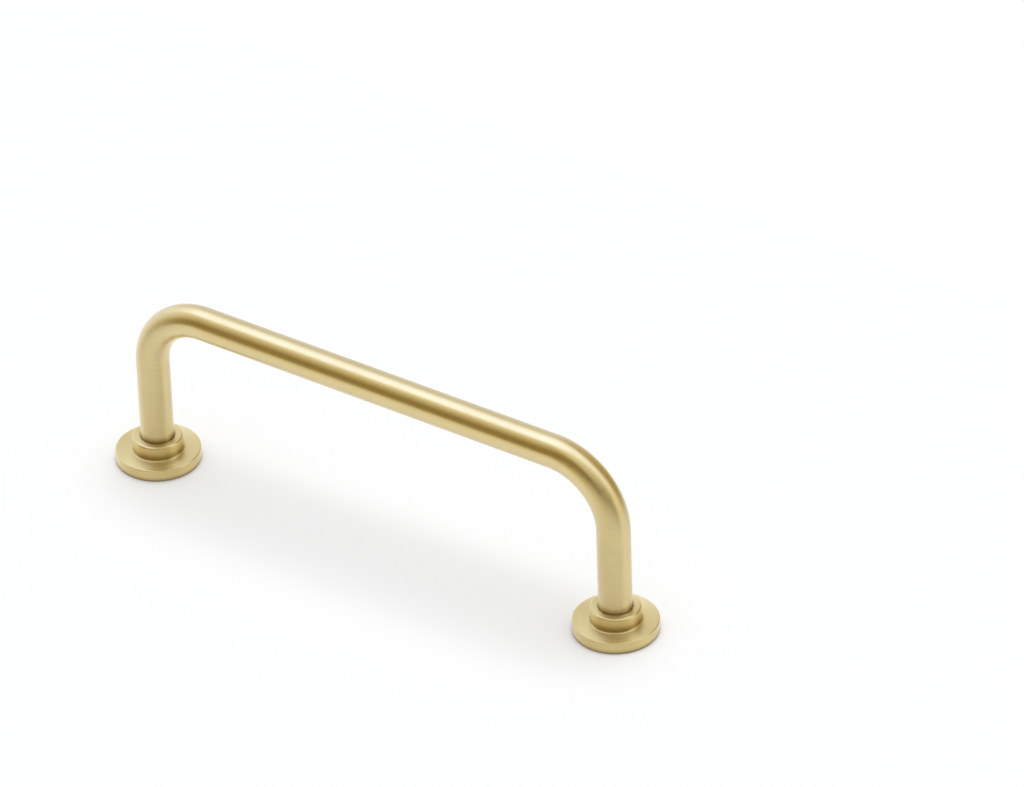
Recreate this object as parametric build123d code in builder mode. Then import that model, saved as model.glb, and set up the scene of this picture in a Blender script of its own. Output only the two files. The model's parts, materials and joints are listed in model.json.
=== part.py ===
from build123d import *

import os
from math import radians, tan

# Arch pull for a drawer or a cupboard door: a solid brass rod bent to an arch, with each foot
# seated in a turned, stepped rose. Two M4 screws come through the drawer front and the roses
# into the tapped feet of the rod, and pull rod, roses and drawer front together.
#
# Millimetres. The origin is midway between the two screws, on the face that the roses stand
# on. +X runs along the bar and +Z away from the drawer front.

# Bar
screw_centres = 96.0        # a standard spacing, three steps of 32
bar_diameter = 5.9          # a 6 mm rod after it has been ground and brushed
bend_radius = 11.8          # to the middle of the rod
overall_height = 35.3       # from the drawer front to the top of the bar
foot_chamfer = 0.3          # round the faced end of each foot

# Tapped hole in each foot, M4
thread_diameter = 4.0
thread_pitch = 0.7
tapped_depth = 12.0         # from the end of the foot to the end of the full bore
drill_point_angle = 118.0
mouth_relief = 0.1          # the countersink stands this far outside the thread

# Roses
rose_diameter = 15.0
rose_thickness = 2.2        # of the wide disc
rim_top_round = 0.2
rim_bottom_round = 0.35
collar_wall = 1.5           # beside the socket
collar_rise = 2.7           # above the disc
collar_round = 0.5          # the collar's upper edge
collar_fillet = 0.35        # where the collar grows out of the disc
seat_thickness = 1.8        # metal under the foot, which the screw clamps
socket_clearance = 0.05     # between the foot and the socket's wall
socket_chamfer = 0.15       # the mouth of the socket
screw_hole_diameter = 4.5   # clearance for an M4 screw
screw_hole_chamfer = 0.2    # on the underside

# Worked out from the sizes above
half_centres = screw_centres / 2
foot_places = {"left": -half_centres, "right": half_centres}
bar_radius = bar_diameter / 2
bar_axis_height = overall_height - bar_radius
tap_radius = (thread_diameter - thread_pitch) / 2
mouth_radius = thread_diameter / 2 + mouth_relief
mouth_depth = mouth_radius - tap_radius
drill_point = tap_radius / tan(radians(drill_point_angle / 2))
socket_radius = bar_radius + socket_clearance
collar_radius = socket_radius + collar_wall
collar_top = rose_thickness + collar_rise
rose_radius = rose_diameter / 2
screw_hole_radius = screw_hole_diameter / 2


def section_plane(place):
    # An upright plane through a foot's axis: its x runs outwards from the axis and its y runs up
    return Plane(origin=(place, 0, 0), x_dir=(1, 0, 0), z_dir=(0, -1, 0))


def foot_axis(place):
    return Axis((place, 0, 0), (0, 0, 1))


def corner(section, radius, height):
    # The corner of a turned section that lies at this radius and height
    return section.vertices().sort_by_distance((radius, height))[0]


# The rod: up one leg, round a bend, along the grip, round the other bend and down
with BuildPart() as bar:
    with BuildLine(Plane.XZ) as centreline:
        FilletPolyline(
            (-half_centres, seat_thickness),
            (-half_centres, bar_axis_height),
            (half_centres, bar_axis_height),
            (half_centres, seat_thickness),
            radius=bend_radius,
        )
    with BuildSketch(Plane.XY.offset(seat_thickness)):
        with Locations((-half_centres, 0)):
            Circle(bar_radius)
    sweep(path=centreline.wires()[0])

    # Each foot is faced square and its edge broken
    foot_ends = bar.faces().filter_by(Axis.Z).group_by(Axis.Z)[0]
    chamfer(foot_ends.edges(), foot_chamfer)

    # Each foot is drilled with the tapping drill, point and all, and countersunk
    for place in foot_places.values():
        with BuildSketch(section_plane(place)):
            with BuildLine():
                Polyline(
                    (0, seat_thickness),
                    (mouth_radius, seat_thickness),
                    (tap_radius, seat_thickness + mouth_depth),
                    (tap_radius, seat_thickness + tapped_depth),
                    (0, seat_thickness + tapped_depth + drill_point),
                    close=True,
                )
            make_face()
        revolve(axis=foot_axis(place), mode=Mode.SUBTRACT)

bar.part.label = "bar"

os.makedirs("parts", exist_ok=True)
export_step(bar.part, "parts/bar.step")


# The roses: a disc and a collar turned in one piece, bored from above to seat the foot and
# from below to let the screw through
for side, place in foot_places.items():
    with BuildPart() as rose:
        with BuildSketch(section_plane(place)) as section:
            with BuildLine():
                Polyline(
                    (screw_hole_radius, 0),
                    (rose_radius, 0),
                    (rose_radius, rose_thickness),
                    (collar_radius, rose_thickness),
                    (collar_radius, collar_top),
                    (socket_radius, collar_top),
                    (socket_radius, seat_thickness),
                    (screw_hole_radius, seat_thickness),
                    close=True,
                )
            make_face()
            fillet(corner(section, rose_radius, 0), rim_bottom_round)
            fillet(corner(section, rose_radius, rose_thickness), rim_top_round)
            fillet(corner(section, collar_radius, rose_thickness), collar_fillet)
            fillet(corner(section, collar_radius, collar_top), collar_round)
            chamfer(corner(section, socket_radius, collar_top), socket_chamfer)
            chamfer(corner(section, screw_hole_radius, 0), screw_hole_chamfer)
        revolve(axis=foot_axis(place))

    rose.part.label = f"rose_{side}"
    export_step(rose.part, f"parts/rose_{side}.step")
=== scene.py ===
import json

import bpy
import numpy as np
from mathutils import Matrix, Vector


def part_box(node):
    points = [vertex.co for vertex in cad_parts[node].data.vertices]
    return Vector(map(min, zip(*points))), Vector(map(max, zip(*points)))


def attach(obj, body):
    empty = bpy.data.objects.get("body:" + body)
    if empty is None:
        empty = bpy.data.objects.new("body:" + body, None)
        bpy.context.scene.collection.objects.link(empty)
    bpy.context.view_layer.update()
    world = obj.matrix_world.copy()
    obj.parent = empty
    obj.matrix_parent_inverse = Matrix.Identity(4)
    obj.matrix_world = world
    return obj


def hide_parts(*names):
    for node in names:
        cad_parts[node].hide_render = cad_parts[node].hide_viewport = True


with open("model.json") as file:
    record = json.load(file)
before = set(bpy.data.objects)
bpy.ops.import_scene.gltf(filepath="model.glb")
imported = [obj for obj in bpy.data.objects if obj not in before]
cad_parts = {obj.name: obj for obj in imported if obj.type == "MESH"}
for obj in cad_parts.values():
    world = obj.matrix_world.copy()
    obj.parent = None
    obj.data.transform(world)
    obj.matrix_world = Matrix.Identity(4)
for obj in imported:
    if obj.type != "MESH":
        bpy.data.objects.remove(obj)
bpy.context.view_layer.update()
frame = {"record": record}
print("frame loaded")

# Shapes are worked out in millimetres and go into the scene in metres
millimetre = 0.001
fullTurn = 2 * np.pi

# Sizes that the frame settles
barLow, barHigh = (np.array(corner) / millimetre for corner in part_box("bar"))
roseHigh = np.array(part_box("rose_right")[1]) / millimetre
mounts = {mount["name"]: mount for mount in frame["record"]["mounts"]}

halfCentres = mounts["foot_thread_right"]["pos_m"][0] / millimetre
barRadius = barHigh[0] - halfCentres
footHeight = barLow[2]
gripHeight = barHigh[2] - barRadius
roseRadius = roseHigh[0] - halfCentres
collarTop = roseHigh[2]
tapRadius = mounts["foot_thread_right"]["dims"]["r_mm"]
screwHoleRadius = mounts["screw_holes"]["dims"]["hole_r_mm"]


# Materials: colours are sRGB hex, turned linear here
def linearColour(hexCode):
    channels = np.array([int(hexCode[i:i + 2], 16) for i in (1, 3, 5)]) / 255
    linear = np.where(channels <= 0.04045, channels / 12.92, ((channels + 0.055) / 1.055) ** 2.4)
    return (*linear.tolist(), 1.0)


def addNode(tree, kind, settings=None, **inputs):
    # Adds a node, sets its options, and fills or links its inputs: "_" in a name stands for a space
    node = tree.nodes.new(kind)
    for option, value in (settings or {}).items():
        setattr(node, option, value)
    for name, value in inputs.items():
        key = int(name[5:]) if name.startswith("input") else name.replace("_", " ")
        if isinstance(value, bpy.types.NodeSocket):
            tree.links.new(value, node.inputs[key])
        else:
            node.inputs[key].default_value = value
    return node


def newMaterial(name):
    material = bpy.data.materials.new(name)
    material.use_nodes = True
    material.node_tree.nodes.clear()
    return material, material.node_tree


# Surfaces
def roundedProfile(corners, closed, arcSteps=8, hold=0.03):
    # A corner is (x, y, rounding, spacing on the run after it). Straight runs are joined by arcs:
    # an arc starts rounding / tan(half the angle between the runs) before its corner, and its
    # centre is rounding / sin(that half angle) along the bisector. A run gets a point "hold" mm
    # inside each end, which keeps the shading of a flat apart from that of the arc beside it.
    spots = np.array([corner[:2] for corner in corners], float)
    arcs = []
    for index, corner in enumerate(spots):
        rounding = corners[index][2]
        if rounding == 0 or (not closed and index in (0, len(corners) - 1)):
            arc = corner[None, :]
        else:
            back = spots[index - 1] - corner
            ahead = spots[(index + 1) % len(corners)] - corner
            back, ahead = back / np.linalg.norm(back), ahead / np.linalg.norm(ahead)
            half = np.arccos(np.clip(back @ ahead, -1, 1)) / 2
            bisector = (back + ahead) / np.linalg.norm(back + ahead)
            centre = corner + bisector * rounding / np.sin(half)
            first = corner + back * rounding / np.tan(half) - centre
            last = corner + ahead * rounding / np.tan(half) - centre
            sweep = np.pi - 2 * half
            share = np.linspace(0, 1, arcSteps + 1)[:, None]
            fromFirst, toLast = np.sin((1 - share) * sweep), np.sin(share * sweep)
            arc = centre + (fromFirst * first + toLast * last) / np.sin(sweep)
        arcs.append(arc)
    points = []
    for index, arc in enumerate(arcs):
        points.append(arc)
        if not closed and index == len(arcs) - 1:
            break
        start, end = arc[-1], arcs[(index + 1) % len(arcs)][0]
        length = np.linalg.norm(end - start)
        steps = max(1, int(np.ceil(length / corners[index][3])))
        places = np.linspace(0, length, steps + 1)[1:-1]
        if length > 4 * hold:
            places = np.sort(np.append(places, (hold, length - hold)))
        points.append(start + (end - start) * places[:, None] / max(length, hold))
    return np.concatenate(points)


def surfacePiece(name, points, closedRows, straightened, recess):
    # A grid of points, rows by columns, made a closed skin: face (row, column) joins that point to
    # its neighbours in the next row and column. Columns always join up. Rows join up too on a
    # ring, and otherwise the first and last row are single points, closed by fans. U runs from row
    # to row, across the brush marks, and V runs round a row, along them. The last argument is
    # painted shade, stored as an attribute: 0 in the open and 1 where a corner is painted darkest.
    rows, columns = points.shape[:2]
    lastRow = rows if closedRows else rows - 1
    row, column = np.meshgrid(np.arange(lastRow), np.arange(columns), indexing="ij")
    corners = np.stack([
        np.stack([row, column], -1),
        np.stack([row, column + 1], -1),
        np.stack([row + 1, column + 1], -1),
        np.stack([row + 1, column], -1),
    ], axis=2).reshape(-1, 4, 2)
    vertexOf = (corners[..., 0] % rows) * columns + corners[..., 1] % columns
    along = corners[..., 0] / lastRow
    around = corners[..., 1] / columns
    uv = np.stack([along, around], -1)
    if not closedRows:  # a pole's row is one vertex, so its quads become triangles
        vertexOf = np.where(corners[..., 0] == 0, 0, vertexOf)
        vertexOf = np.where(corners[..., 0] == rows - 1, (rows - 1) * columns, vertexOf)
    distinct = vertexOf != np.roll(vertexOf, -1, axis=1)
    used, compact = np.unique(vertexOf, return_inverse=True)
    sides = distinct.sum(axis=1)
    mesh = bpy.data.meshes.new(name)
    mesh.vertices.add(len(used))
    mesh.vertices.foreach_set("co", (points.reshape(-1, 3)[used] * millimetre).ravel())
    mesh.loops.add(int(sides.sum()))
    mesh.loops.foreach_set("vertex_index", compact.reshape(vertexOf.shape)[distinct])
    mesh.polygons.add(len(sides))
    mesh.polygons.foreach_set("loop_start", np.cumsum(sides) - sides)
    mesh.update(calc_edges=True)
    mesh.uv_layers.new(name="brushing").data.foreach_set("uv", uv[distinct].ravel())
    straight = mesh.attributes.new("straightened", "FLOAT_VECTOR", "POINT")
    straight.data.foreach_set("vector", straightened.reshape(-1, 3)[used].ravel())
    paintedShadeLayer = mesh.attributes.new("recess", "FLOAT", "POINT")
    paintedShadeLayer.data.foreach_set("value", np.broadcast_to(recess, points.shape[:2]).ravel()[used])
    mesh.shade_smooth()
    mesh.validate()
    piece = bpy.data.objects.new(name, mesh)
    bpy.context.collection.objects.link(piece)
    return piece


# The rod
rod = {
    "bendRadius": 11.8,        # mm, to the middle of the rod
    "footChamfer": 0.3,        # mm
    "edgeEase": 0.05,          # mm, rounding of each machined corner
    "tappedDepth": 12.0,       # mm
    "threadDepth": 0.35,       # mm, from the tapping drill's wall to the bottom of the groove
    "threadPitch": 0.7,        # mm, M4
    "threadFlat": 0.1,         # share of the groove's wave that is cut off at crest and root
    "threadRunOut": 1.2,       # mm, over which the deepest turns fade away
    "rowsPerTurn": 12,         # of the grid, in the thread
    "mouthRadius": 2.1,        # mm, countersink
    "drillPointAngle": 118.0,  # degrees
    "footShade": 0.75,         # share of the painted shade's dark colour, at the collar
    "darkFoot": 0.65,          # mm above the collar, over which it fades out
    "columns": 96,
}


def rodLength():
    # Two legs, two quarter turns and the grip, along the middle of the rod
    bend = rod["bendRadius"]
    leg = gripHeight - bend - footHeight
    return 2 * (leg + bend * np.pi / 2 + halfCentres - bend)


def rodCentreline(distance):
    # Measured from one foot. Both halves are one formula in the distance from the middle of the
    # grip: straight, then a quarter turn, then straight down. "outward" points from the inside of
    # the bend to its outside, and straight up on the grip.
    bend = rod["bendRadius"]
    straight = halfCentres - bend
    fromMiddle = distance - rodLength() / 2
    side, away = np.sign(fromMiddle), np.abs(fromMiddle)
    turn = np.clip((away - straight) / bend, 0, np.pi / 2)
    down = np.maximum(away - straight - bend * np.pi / 2, 0)
    x = side * (np.minimum(away, straight) + bend * np.sin(turn))
    z = gripHeight - bend * (1 - np.cos(turn)) - down
    centre = np.stack([x, np.zeros_like(x), z], -1)
    outward = np.stack([side * np.sin(turn), np.zeros_like(x), np.cos(turn)], -1)
    return centre, outward


def rodProfile():
    # (distance, radius) from the point of one drilled hole, out over its mouth and the faced end,
    # along the outside of the rod, and into the hole at the other foot. Each corner also has its
    # rounding and the grid's spacing after it.
    length, bend = rodLength(), rod["bendRadius"]
    chamferRun, ease, tapped = rod["footChamfer"], rod["edgeEase"], rod["tappedDepth"]
    point = tapRadius / np.tan(np.radians(rod["drillPointAngle"] / 2))
    mouthDepth = rod["mouthRadius"] - tapRadius
    threadStep = rod["threadPitch"] / rod["rowsPerTurn"]
    legEnd = gripHeight - bend - footHeight
    bendEnd = legEnd + bend * np.pi / 2
    foot = [
        (tapped + point, 0, 0, 0.4),
        (tapped, tapRadius, ease, threadStep),
        (mouthDepth, tapRadius, 0, threadStep),
        (0, rod["mouthRadius"], ease, 0.2),
        (0, barRadius - chamferRun, ease, 0.1),
        (chamferRun, barRadius, ease, 1.5),
        (legEnd, barRadius, 0, 0.4),
        (bendEnd, barRadius, 0, 2.0),
    ]
    spacingBefore = [foot[0][3]] + [corner[3] for corner in foot[:-1]]
    farFoot = [
        (length - distance, radius, rounding, spacing)
        for (distance, radius, rounding, _), spacing in zip(foot, spacingBefore)
    ]
    return roundedProfile(foot + farFoot[::-1], closed=False)


def threadedRadius(height, angle, radius, handed):
    # A right-hand thread: the groove's depth is a triangle wave of height over pitch plus a turn
    # round the hole, clipped flat at crest and root. It fades at the deep end, and the countersink
    # cuts its first turn.
    phase = (height / rod["threadPitch"] + handed * angle / fullTurn) % 1
    wave = np.abs(2 * phase - 1)
    groove = np.clip((wave - rod["threadFlat"]) / (1 - 2 * rod["threadFlat"]), 0, 1)
    fade = np.clip((rod["tappedDepth"] - height) / rod["threadRunOut"], 0, 1)
    return np.maximum(radius, tapRadius + rod["threadDepth"] * groove * fade)


def makeRod():
    # Each point is the centreline's point plus radius times (cos angle * outward + sin angle * Y).
    # Painted shade darkens the rod just above the collar, where it falls off as
    # exp(-(height above the collar / darkFoot) squared).
    profile = rodProfile()
    length = rodLength()
    distance = profile[:, 0][:, None]
    angle = np.linspace(0, fullTurn, rod["columns"], endpoint=False)[None, :]
    centre, outward = rodCentreline(profile[:, 0])
    radius = np.broadcast_to(profile[:, 1][:, None], (len(profile), rod["columns"]))
    row = np.arange(len(profile))[:, None]
    outside = np.flatnonzero(profile[:, 1] >= rod["mouthRadius"])
    inNearHole = (row < outside[0]) & (radius >= tapRadius)
    inFarHole = (row > outside[-1]) & (radius >= tapRadius)
    radius = np.where(inNearHole, threadedRadius(distance, angle, radius, 1), radius)
    radius = np.where(inFarHole, threadedRadius(length - distance, angle, radius, -1), radius)
    across = radius * np.cos(angle)
    sideways = radius * np.sin(angle)
    points = centre[:, None, :] + across[..., None] * outward[:, None, :]
    points = points + sideways[..., None] * np.array([0, 1, 0])
    straightened = np.stack([np.broadcast_to(distance, radius.shape), across, sideways], -1)
    aboveCollar = np.maximum(footHeight + np.minimum(distance, length - distance) - collarTop, 0)
    recess = rod["footShade"] * np.exp(-(aboveCollar / rod["darkFoot"]) ** 2)
    return surfacePiece("satin_rod", points[:, ::-1], False, straightened[:, ::-1], recess)


# The roses
rose = {
    "thickness": 2.2,          # mm, the wide disc
    "collarWall": 1.54,        # mm, beside the socket
    "socketClearance": 0.01,   # mm, round the foot
    "rimTopRound": 0.2,        # mm
    "rimBottomRound": 0.2,     # mm
    "collarFillet": 0.35,      # mm, where the collar grows out of the disc
    "collarRound": 0.5,        # mm
    "socketChamfer": 0.06,     # mm
    "screwHoleChamfer": 0.2,   # mm
    "edgeEase": 0.04,          # mm, rounding of each other machined corner
    "wallShade": 0.7,          # share of the painted shade's dark colour, at the foot of the collar
    "darkWall": 0.8,           # mm up the collar, over which it fades out
    "mouthShade": 0.6,         # the share round the rod
    "darkMouth": 0.25,         # mm outwards, over which it fades out
    "darkRim": 0.4,            # mm up from the underside, over which the rim's painted shade fades out
    "darkEdge": 1.0,           # mm inwards, the same
    "columns": 192,
}


def roseProfile():
    # (radius, height, rounding, spacing) round one turned section, from the screw hole's lower
    # edge outwards, up over the rim and the collar, and down inside the socket
    ease = rose["edgeEase"]
    socketRadius = barRadius + rose["socketClearance"]
    collarRadius = socketRadius + rose["collarWall"]
    holeChamfer, mouth = rose["screwHoleChamfer"], rose["socketChamfer"]
    return roundedProfile([
        (screwHoleRadius, holeChamfer, ease, 0.2),
        (screwHoleRadius + holeChamfer, 0, ease, 0.6),
        (roseRadius, 0, rose["rimBottomRound"], 0.3),
        (roseRadius, rose["thickness"], rose["rimTopRound"], 0.25),
        (collarRadius, rose["thickness"], rose["collarFillet"], 0.3),
        (collarRadius, collarTop, rose["collarRound"], 0.2),
        (socketRadius + mouth, collarTop, ease, 0.2),
        (socketRadius, collarTop - mouth, ease, 0.5),
        (socketRadius, footHeight, ease, 0.2),
        (screwHoleRadius, footHeight, ease, 0.4),
    ], closed=True)


def makeRose(name, place):
    # The section carried round its axis: (radius * cos angle, radius * sin angle, height). The
    # straightened vector holds the distance along the section, which numbers the turning marks,
    # and the same circle. Painted shade darkens the foot of the collar, the ring round the rod and
    # the rim's lower edge; each falls off as exp(-(distance from it / its reach) squared).
    profile = roseProfile()
    angle = np.linspace(0, fullTurn, rose["columns"], endpoint=False)[None, :]
    radius, height = profile[:, 0][:, None], profile[:, 1][:, None]
    points = np.stack([
        place + radius * np.cos(angle),
        radius * np.sin(angle),
        np.broadcast_to(height, (len(profile), rose["columns"])),
    ], -1)
    step = np.linalg.norm(np.diff(profile, axis=0), axis=1)
    travelled = np.concatenate([[0], np.cumsum(step)])[:, None]
    straightened = np.stack([
        np.broadcast_to(travelled, points.shape[:2]) + place,
        np.broadcast_to(radius * np.cos(angle), points.shape[:2]),
        np.broadcast_to(radius * np.sin(angle), points.shape[:2]),
    ], -1)
    socketRadius = barRadius + rose["socketClearance"]
    aboveFillet = height - rose["thickness"] - rose["collarFillet"]
    reach = np.where(aboveFillet > 0, rose["darkWall"], rose["collarFillet"] / 2)
    onWall = np.abs(radius - socketRadius - rose["collarWall"]) < rose["collarFillet"]
    wall = rose["wallShade"] * onWall * np.exp(-(aboveFillet / reach) ** 2)
    fromRod = np.maximum(radius - socketRadius, 0)
    aboveDisc = height > rose["thickness"]
    mouth = rose["mouthShade"] * aboveDisc * np.exp(-(fromRod / rose["darkMouth"]) ** 2)
    # painted shade along the rim's lower edge
    fromRim = roseRadius - radius
    rim = np.exp(-(height / rose["darkRim"]) ** 2 - (fromRim / rose["darkEdge"]) ** 2)
    recess = np.maximum(np.maximum(wall, mouth), rim)
    return surfacePiece(name, points, True, straightened, recess)


# Satin brass: rod and turned blanks, spun against a fine abrasive and sealed with clear lacquer.
# The eye sees a pale warm gold with soft bands of light that stay sharp round the rod and blur
# along it, hair-fine rings, fans of light on the roses, and a cream sheen from the lacquer.
satinBrass = {
    "rodColour": "#D5C28B",
    "rodPaleMark": "#ECD79A",
    "roseColour": "#D6C285",   # turned from another bar, a shade yellower
    "rosePaleMark": "#EDD794",
    # the dark colour painted into corners and along the rim's lower edge as shade
    "cornerColour": "#8C6C33",
    "roughness": 0.387,
    "anisotropy": 0.87,
    "roughnessSpread": 0.05,
    "lacquer": 1.0,
    "lacquerRoughness": 0.2,
    "markWidth": 0.3,          # mm, about five times as wide as the real marks so that they show
    "markLength": 12.0,        # mm
    "markDepth": 0.004,        # mm
    "markDetail": 3.0,         # finer marks within each mark
    "markGrain": 0.6,          # how strong each finer set is beside the one before
    "patchScale": 0.12,        # per mm: patches about 8 mm across, where the abrasive bit more
    "patchDetail": 2.0,
    "noiseRange": (0.3, 0.7),  # between which nearly all of a noise texture's values lie
}


def satinBrassMaterial(name, part):
    # Brush marks are noise on the straightened vector, squeezed to the marks' width across them
    # and drawn out to their length along them. They change the colour, the roughness and, very
    # slightly, the relief. Broad patches of noise change the roughness too.
    material, tree = newMaterial(name)
    darkMark, paleMark = (linearColour(satinBrass[part + tone]) for tone in ("Colour", "PaleMark"))
    across, along = 1 / satinBrass["markWidth"], 1 / satinBrass["markLength"]
    low, high = satinBrass["noiseRange"]
    middle, spread = satinBrass["roughness"], satinBrass["roughnessSpread"]
    vector = addNode(tree, "ShaderNodeAttribute", {"attribute_name": "straightened"})
    placed = addNode(tree, "ShaderNodeMapping",
                     Vector=vector.outputs["Vector"], Scale=(across, along, along))
    marks = addNode(tree, "ShaderNodeTexNoise", {"noise_dimensions": "3D"},
                    Vector=placed.outputs["Vector"], Scale=1.0,
                    Detail=satinBrass["markDetail"], Roughness=satinBrass["markGrain"])
    patches = addNode(tree, "ShaderNodeTexNoise", {"noise_dimensions": "3D"},
                      Vector=vector.outputs["Vector"], Scale=satinBrass["patchScale"],
                      Detail=satinBrass["patchDetail"])
    tint = addNode(tree, "ShaderNodeMix", {"data_type": "RGBA"},
                   Factor=marks.outputs["Fac"], input6=darkMark, input7=paleMark)
    # Painted shade: the brass colour is mixed towards the dark shade colour where the attribute says
    recess = addNode(tree, "ShaderNodeAttribute", {"attribute_name": "recess"})
    colour = addNode(tree, "ShaderNodeMix", {"data_type": "RGBA"}, Factor=recess.outputs["Fac"],
                     input6=tint.outputs[2], input7=linearColour(satinBrass["cornerColour"]))
    scored = addNode(tree, "ShaderNodeMapRange", Value=marks.outputs["Fac"],
                     From_Min=low, From_Max=high, To_Min=-spread, To_Max=spread)
    bitten = addNode(tree, "ShaderNodeMapRange", Value=patches.outputs["Fac"],
                     From_Min=low, From_Max=high,
                     To_Min=middle - spread / 2, To_Max=middle + spread / 2)
    roughness = addNode(tree, "ShaderNodeMath", {"operation": "ADD"},
                        input0=scored.outputs["Result"], input1=bitten.outputs["Result"])
    relief = addNode(tree, "ShaderNodeBump", Height=marks.outputs["Fac"], Strength=1.0,
                     Distance=satinBrass["markDepth"] * millimetre)
    tangent = addNode(tree, "ShaderNodeTangent", {"direction_type": "UV_MAP", "uv_map": "brushing"})
    brass = addNode(tree, "ShaderNodeBsdfPrincipled", Metallic=1.0,
                    Base_Color=colour.outputs[2], Roughness=roughness.outputs["Value"],
                    Anisotropic=satinBrass["anisotropy"], Tangent=tangent.outputs["Tangent"],
                    Normal=relief.outputs["Normal"], Coat_Weight=satinBrass["lacquer"],
                    Coat_Roughness=satinBrass["lacquerRoughness"])
    addNode(tree, "ShaderNodeOutputMaterial", Surface=brass.outputs["BSDF"])
    return material


# Pieces
satinRod = makeRod()
satinRod.data.materials.append(satinBrassMaterial("spun_brass_rod", "rod"))
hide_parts("bar")
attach(satinRod, "root")
print("rod made:", len(satinRod.data.polygons), "faces")

turnedBrass = satinBrassMaterial("spun_brass_rose", "rose")
for side, place in (("left", -halfCentres), ("right", halfCentres)):
    turnedRose = makeRose("turned_rose_" + side, place)
    turnedRose.data.materials.append(turnedBrass)
    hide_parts("rose_" + side)
    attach(turnedRose, "root")
    print("rose made:", side, len(turnedRose.data.polygons), "faces")


# A sheet of matt white paper, which the pull stands on
floor = {
    "halfWidth": 200.0,  # mm
    "halfDepth": 120.0,  # mm
    "drop": 0.01,        # mm, below the roses, so that the two never share a plane
    "colour": "#FBFBFB",
}


def makeFloor():
    signs = np.array([(-1, -1), (1, -1), (1, 1), (-1, 1)])
    corners = np.full((4, 3), -floor["drop"])
    corners[:, :2] = signs * (floor["halfWidth"], floor["halfDepth"])
    mesh = bpy.data.meshes.new("paper_floor")
    mesh.from_pydata((corners * millimetre).tolist(), [], [(0, 1, 2, 3)])
    material, tree = newMaterial("matt_paper")
    paper = addNode(tree, "ShaderNodeBsdfDiffuse", Color=linearColour(floor["colour"]))
    addNode(tree, "ShaderNodeOutputMaterial", Surface=paper.outputs["BSDF"])
    mesh.materials.append(material)
    paperFloor = bpy.data.objects.new("paper_floor", mesh)
    bpy.context.collection.objects.link(paperFloor)


makeFloor()

# Studio: a pale room with a softbox and cards in it, which the brass mirrors, and one broad soft
# lamp from above. Azimuth 0 is in front of the pull and 90 to its right. All angles are in
# degrees, and "wide" and "high" are measured from a card's middle to its edge.
room = {
    "colour": "#F1E9C5",      # what the brass mirrors between the cards
    "strength": 1.0,
    "fillColour": "#FBFDFF",  # what lights the paper
    "fill": 0.625,
    "seenColour": "#FFFFFF",  # what the camera sees behind the paper
}
cards = {
    "softbox": {"azimuth": -122, "elevation": 68, "wide": 24.5, "high": 22.5, "soft": 4,
                "colour": "#C8D5FF", "strength": 2.96},
    "leftWall": {"azimuth": -120, "elevation": 19, "wide": 49.5, "high": 25.5, "soft": 9.5,
                 "colour": "#F4F8FF", "strength": 1.04},
    "rightWindow": {"azimuth": 125.5, "elevation": 55.5, "wide": 18, "high": 32, "soft": 4,
                    "colour": "#DEE7FF", "strength": 1.76},
    "dimFront": {"azimuth": 17.5, "elevation": 20, "wide": 67, "high": 15.5, "soft": 4,
                 "colour": "#3C3019", "strength": 1.0},
    "dimBack": {"azimuth": 158, "elevation": 19.5, "wide": 25.5, "high": 33.5, "soft": 10,
                "colour": "#A99557", "strength": 1.0},
    "dimAbove": {"azimuth": -15.5, "elevation": 27.5, "wide": 22.5, "high": 25, "soft": 5,
                 "colour": "#A1833E", "strength": 1.0},
    "paleBack": {"azimuth": 182.5, "elevation": 35, "wide": 13, "high": 27, "soft": 15,
                 "colour": "#D8CCAA", "strength": 1.0},
}
broadLamp = {"azimuth": 190, "elevation": 81.5, "spread": 44, "strength": 1.36}


def direction(azimuth, elevation):
    a, e = np.radians(azimuth), np.radians(elevation)
    return Vector((np.sin(a) * np.cos(e), -np.cos(a) * np.cos(e), np.sin(e)))


def glow(colour, strength):
    return [channel * strength for channel in linearColour(colour)[:3]] + [1.0]


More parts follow.
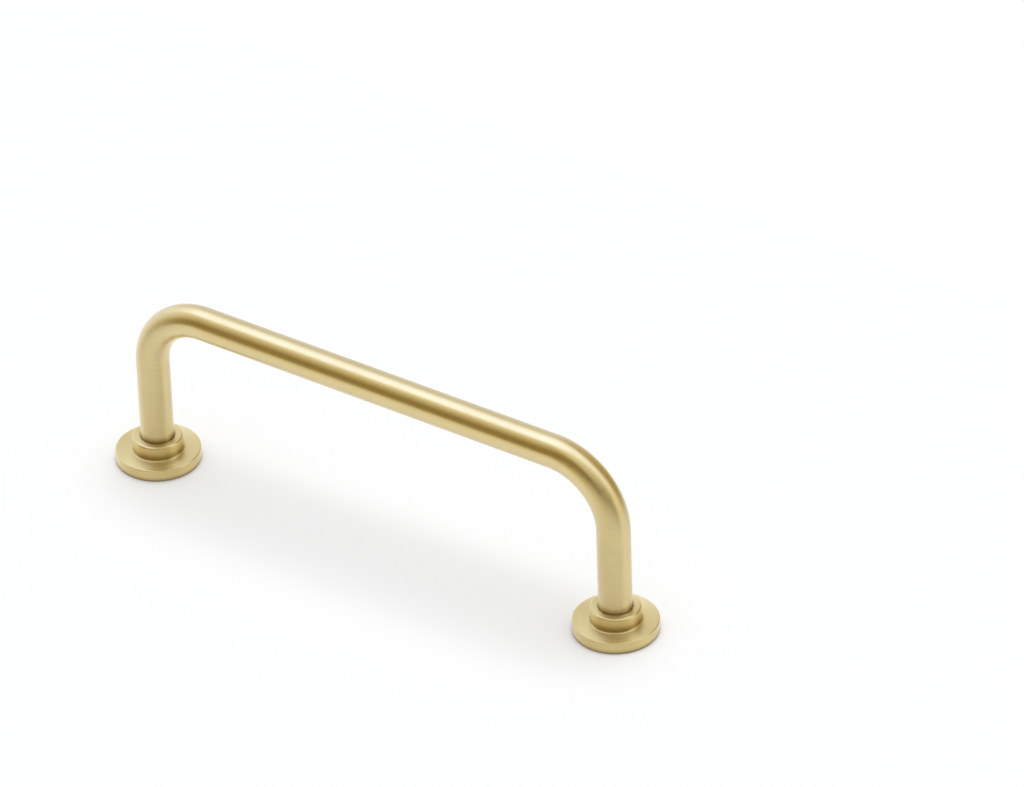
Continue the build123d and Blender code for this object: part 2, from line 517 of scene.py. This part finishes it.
def makeRoom():
    # Each card is a soft-edged rectangle: the ray's direction is measured along the card's own
    # sideways and upward axes, and a smooth step fades it out at each edge
    world = bpy.data.worlds.new("studio")
    bpy.context.scene.world = world
    world.use_nodes = True
    tree = world.node_tree
    tree.nodes.clear()
    ray = addNode(tree, "ShaderNodeTexCoord").outputs["Generated"]
    mirrored = glow(room["colour"], room["strength"])
    for card in cards.values():
        facing = direction(card["azimuth"], card["elevation"])
        sideways = direction(card["azimuth"] + 90, 0)
        upward = direction(card["azimuth"], card["elevation"] + 90)
        towards = addNode(tree, "ShaderNodeVectorMath", {"operation": "DOT_PRODUCT"},
                          input0=ray, input1=facing)
        mask = addNode(tree, "ShaderNodeMath", {"operation": "GREATER_THAN"},
                       input0=towards.outputs["Value"], input1=0.0).outputs["Value"]
        for axis, reach in ((sideways, card["wide"]), (upward, card["high"])):
            offset = addNode(tree, "ShaderNodeVectorMath", {"operation": "DOT_PRODUCT"},
                             input0=ray, input1=axis)
            size = addNode(tree, "ShaderNodeMath", {"operation": "ABSOLUTE"},
                           input0=offset.outputs["Value"])
            inner, outer = np.sin(np.radians([reach - card["soft"], reach + card["soft"]]))
            fade = addNode(tree, "ShaderNodeMapRange", {"interpolation_type": "SMOOTHSTEP"},
                           Value=size.outputs["Value"], From_Min=inner, From_Max=outer,
                           To_Min=1.0, To_Max=0.0)
            mask = addNode(tree, "ShaderNodeMath", {"operation": "MULTIPLY"},
                           input0=mask, input1=fade.outputs["Result"]).outputs["Value"]
        mirrored = addNode(tree, "ShaderNodeMix", {"data_type": "RGBA"}, Factor=mask, input6=mirrored,
                           input7=glow(card["colour"], card["strength"])).outputs[2]
    # The brass mirrors the room, the paper gets its plain fill, and the camera sees white
    path = addNode(tree, "ShaderNodeLightPath")
    lit = addNode(tree, "ShaderNodeMix", {"data_type": "RGBA"}, Factor=path.outputs["Is Glossy Ray"],
                  input6=glow(room["fillColour"], room["fill"]), input7=mirrored)
    shown = addNode(tree, "ShaderNodeMix", {"data_type": "RGBA"}, Factor=path.outputs["Is Camera Ray"],
                    input6=lit.outputs[2], input7=linearColour(room["seenColour"]))
    background = addNode(tree, "ShaderNodeBackground", Color=shown.outputs[2], Strength=1.0)
    addNode(tree, "ShaderNodeOutputWorld", Surface=background.outputs["Background"])
    world.cycles.sampling_method = "NONE"  # a sampled world would not know a glossy ray


def makeBroadLamp():
    # It lights the paper and draws the soft shadow; the room is what the brass mirrors
    lamp = bpy.data.lights.new("broad_lamp", "SUN")
    lamp.angle = np.radians(broadLamp["spread"])
    lamp.energy = broadLamp["strength"]
    lampObject = bpy.data.objects.new("broad_lamp", lamp)
    towards = direction(broadLamp["azimuth"], broadLamp["elevation"])
    lampObject.rotation_mode = "QUATERNION"
    lampObject.rotation_quaternion = towards.to_track_quat("Z", "Y")
    lampObject.location = towards
    lampObject.visible_glossy = False
    bpy.context.collection.objects.link(lampObject)


makeRoom()
makeBroadLamp()

# Camera
camera = {
    "location": (706.0, -958.8, 852.3),  # mm
    "aim": (28.1, 0.0, 41.2),            # mm
    "roll": -2.03,                       # degrees
    "lens": 298.6,                       # mm
    "sensorWidth": 36.0,                 # mm
    "clip": (0.01, 20.0),                # m, the nearest and furthest that it sees
}


def makeCamera():
    # The camera looks from its location to its aim, then rolls about that line
    data = bpy.data.cameras.new("camera")
    data.sensor_width = camera["sensorWidth"]
    data.lens = camera["lens"]
    data.clip_start, data.clip_end = camera["clip"]
    location, aim = Vector(camera["location"]), Vector(camera["aim"])
    forward = (aim - location).normalized()
    level = forward.cross(Vector((0, 0, 1))).normalized()
    roll = np.radians(camera["roll"])
    right = level * np.cos(roll) + level.cross(forward) * np.sin(roll)
    turned = Matrix((right, right.cross(forward), -forward)).transposed().to_4x4()
    view = bpy.data.objects.new("camera", data)
    view.matrix_world = Matrix.Translation(location * millimetre) @ turned
    bpy.context.collection.objects.link(view)
    bpy.context.scene.camera = view


makeCamera()
bpy.context.scene.view_settings.view_transform = "Standard"
print("studio and camera ready")
